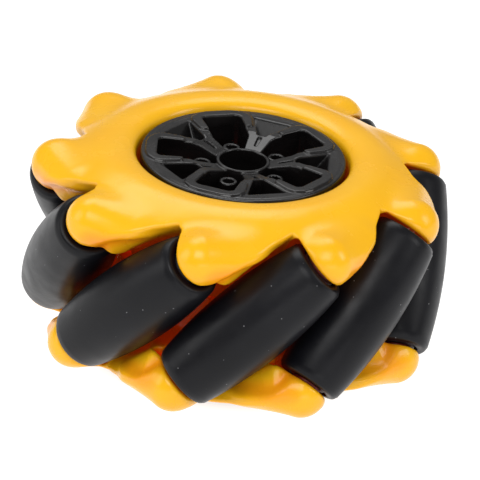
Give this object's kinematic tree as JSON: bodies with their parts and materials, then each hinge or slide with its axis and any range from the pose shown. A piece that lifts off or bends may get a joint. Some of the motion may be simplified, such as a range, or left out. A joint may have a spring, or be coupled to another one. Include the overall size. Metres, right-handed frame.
{
  "type": "mecanum wheel",
  "caption": "Mecanum drive wheel: free-turning barrel rollers set at 45 degrees between two lobed yellow side plates, clamped by a black spoked two-piece hub.",
  "frame": {"origin": "centre of the wheel, on its axis and half-way between the two side plates", "axes": "+Z along the wheel's axis towards its outer (front) face; +X towards the middle of roller 1; the wheel lies flat on its rear plate"},
  "size_m": [0.0972, 0.097, 0.0484],
  "materials": {
    "plate": "glossy moulded plastic, warm yellow",
    "hub": "glossy moulded plastic, black",
    "tread": "satin black rubber",
    "core": "moulded nylon, black",
    "bush": "turned acetal, off-white",
    "steel": "plain steel"
  },
  "bodies": {
    "wheel": {"front_plate": "plate", "rear_plate": "plate", "front_hub": "hub", "rear_hub": "hub", "hub_screw_1": "steel", "hub_screw_2": "steel", "hub_screw_3": "steel", "hub_screw_4": "steel", "hub_screw_5": "steel", "axle_pin_1": "steel", "axle_pin_2": "steel", "axle_pin_3": "steel", "axle_pin_4": "steel", "axle_pin_5": "steel", "axle_pin_6": "steel", "axle_pin_7": "steel", "axle_pin_8": "steel", "axle_pin_9": "steel"},
    "roller_1": {"roller_tread_1": "tread", "roller_core_1": "core", "bush_upper_1": "bush", "bush_lower_1": "bush"},
    "roller_2": {"roller_tread_2": "tread", "roller_core_2": "core", "bush_upper_2": "bush", "bush_lower_2": "bush"},
    "roller_3": {"roller_tread_3": "tread", "roller_core_3": "core", "bush_upper_3": "bush", "bush_lower_3": "bush"},
    "roller_4": {"roller_tread_4": "tread", "roller_core_4": "core", "bush_upper_4": "bush", "bush_lower_4": "bush"},
    "roller_5": {"roller_tread_5": "tread", "roller_core_5": "core", "bush_upper_5": "bush", "bush_lower_5": "bush"},
    "roller_6": {"roller_tread_6": "tread", "roller_core_6": "core", "bush_upper_6": "bush", "bush_lower_6": "bush"},
    "roller_7": {"roller_tread_7": "tread", "roller_core_7": "core", "bush_upper_7": "bush", "bush_lower_7": "bush"},
    "roller_8": {"roller_tread_8": "tread", "roller_core_8": "core", "bush_upper_8": "bush", "bush_lower_8": "bush"},
    "roller_9": {"roller_tread_9": "tread", "roller_core_9": "core", "bush_upper_9": "bush", "bush_lower_9": "bush"}
  },
  "joints": [
    {"name": "roller_1_spin", "type": "hinge", "parent": "wheel", "child": "roller_1", "pos_m": [0.039, 0, 0], "axis": [0, 0.7071, 0.7071], "continuous": true},
    {"name": "roller_2_spin", "type": "hinge", "parent": "wheel", "child": "roller_2", "pos_m": [0.02988, 0.02507, 0], "axis": [-0.4545, 0.5417, 0.7071], "continuous": true},
    {"name": "roller_3_spin", "type": "hinge", "parent": "wheel", "child": "roller_3", "pos_m": [0.00677, 0.03841, 0], "axis": [-0.6964, 0.1228, 0.7071], "continuous": true},
    {"name": "roller_4_spin", "type": "hinge", "parent": "wheel", "child": "roller_4", "pos_m": [-0.0195, 0.03377, 0], "axis": [-0.6124, -0.3536, 0.7071], "continuous": true},
    {"name": "roller_5_spin", "type": "hinge", "parent": "wheel", "child": "roller_5", "pos_m": [-0.03665, 0.01334, 0], "axis": [-0.2418, -0.6645, 0.7071], "continuous": true},
    {"name": "roller_6_spin", "type": "hinge", "parent": "wheel", "child": "roller_6", "pos_m": [-0.03665, -0.01334, 0], "axis": [0.2418, -0.6645, 0.7071], "continuous": true},
    {"name": "roller_7_spin", "type": "hinge", "parent": "wheel", "child": "roller_7", "pos_m": [-0.0195, -0.03377, 0], "axis": [0.6124, -0.3536, 0.7071], "continuous": true},
    {"name": "roller_8_spin", "type": "hinge", "parent": "wheel", "child": "roller_8", "pos_m": [0.00677, -0.03841, 0], "axis": [0.6964, 0.1228, 0.7071], "continuous": true},
    {"name": "roller_9_spin", "type": "hinge", "parent": "wheel", "child": "roller_9", "pos_m": [0.02988, -0.02507, 0], "axis": [0.4545, 0.5417, 0.7071], "continuous": true}
  ]
}
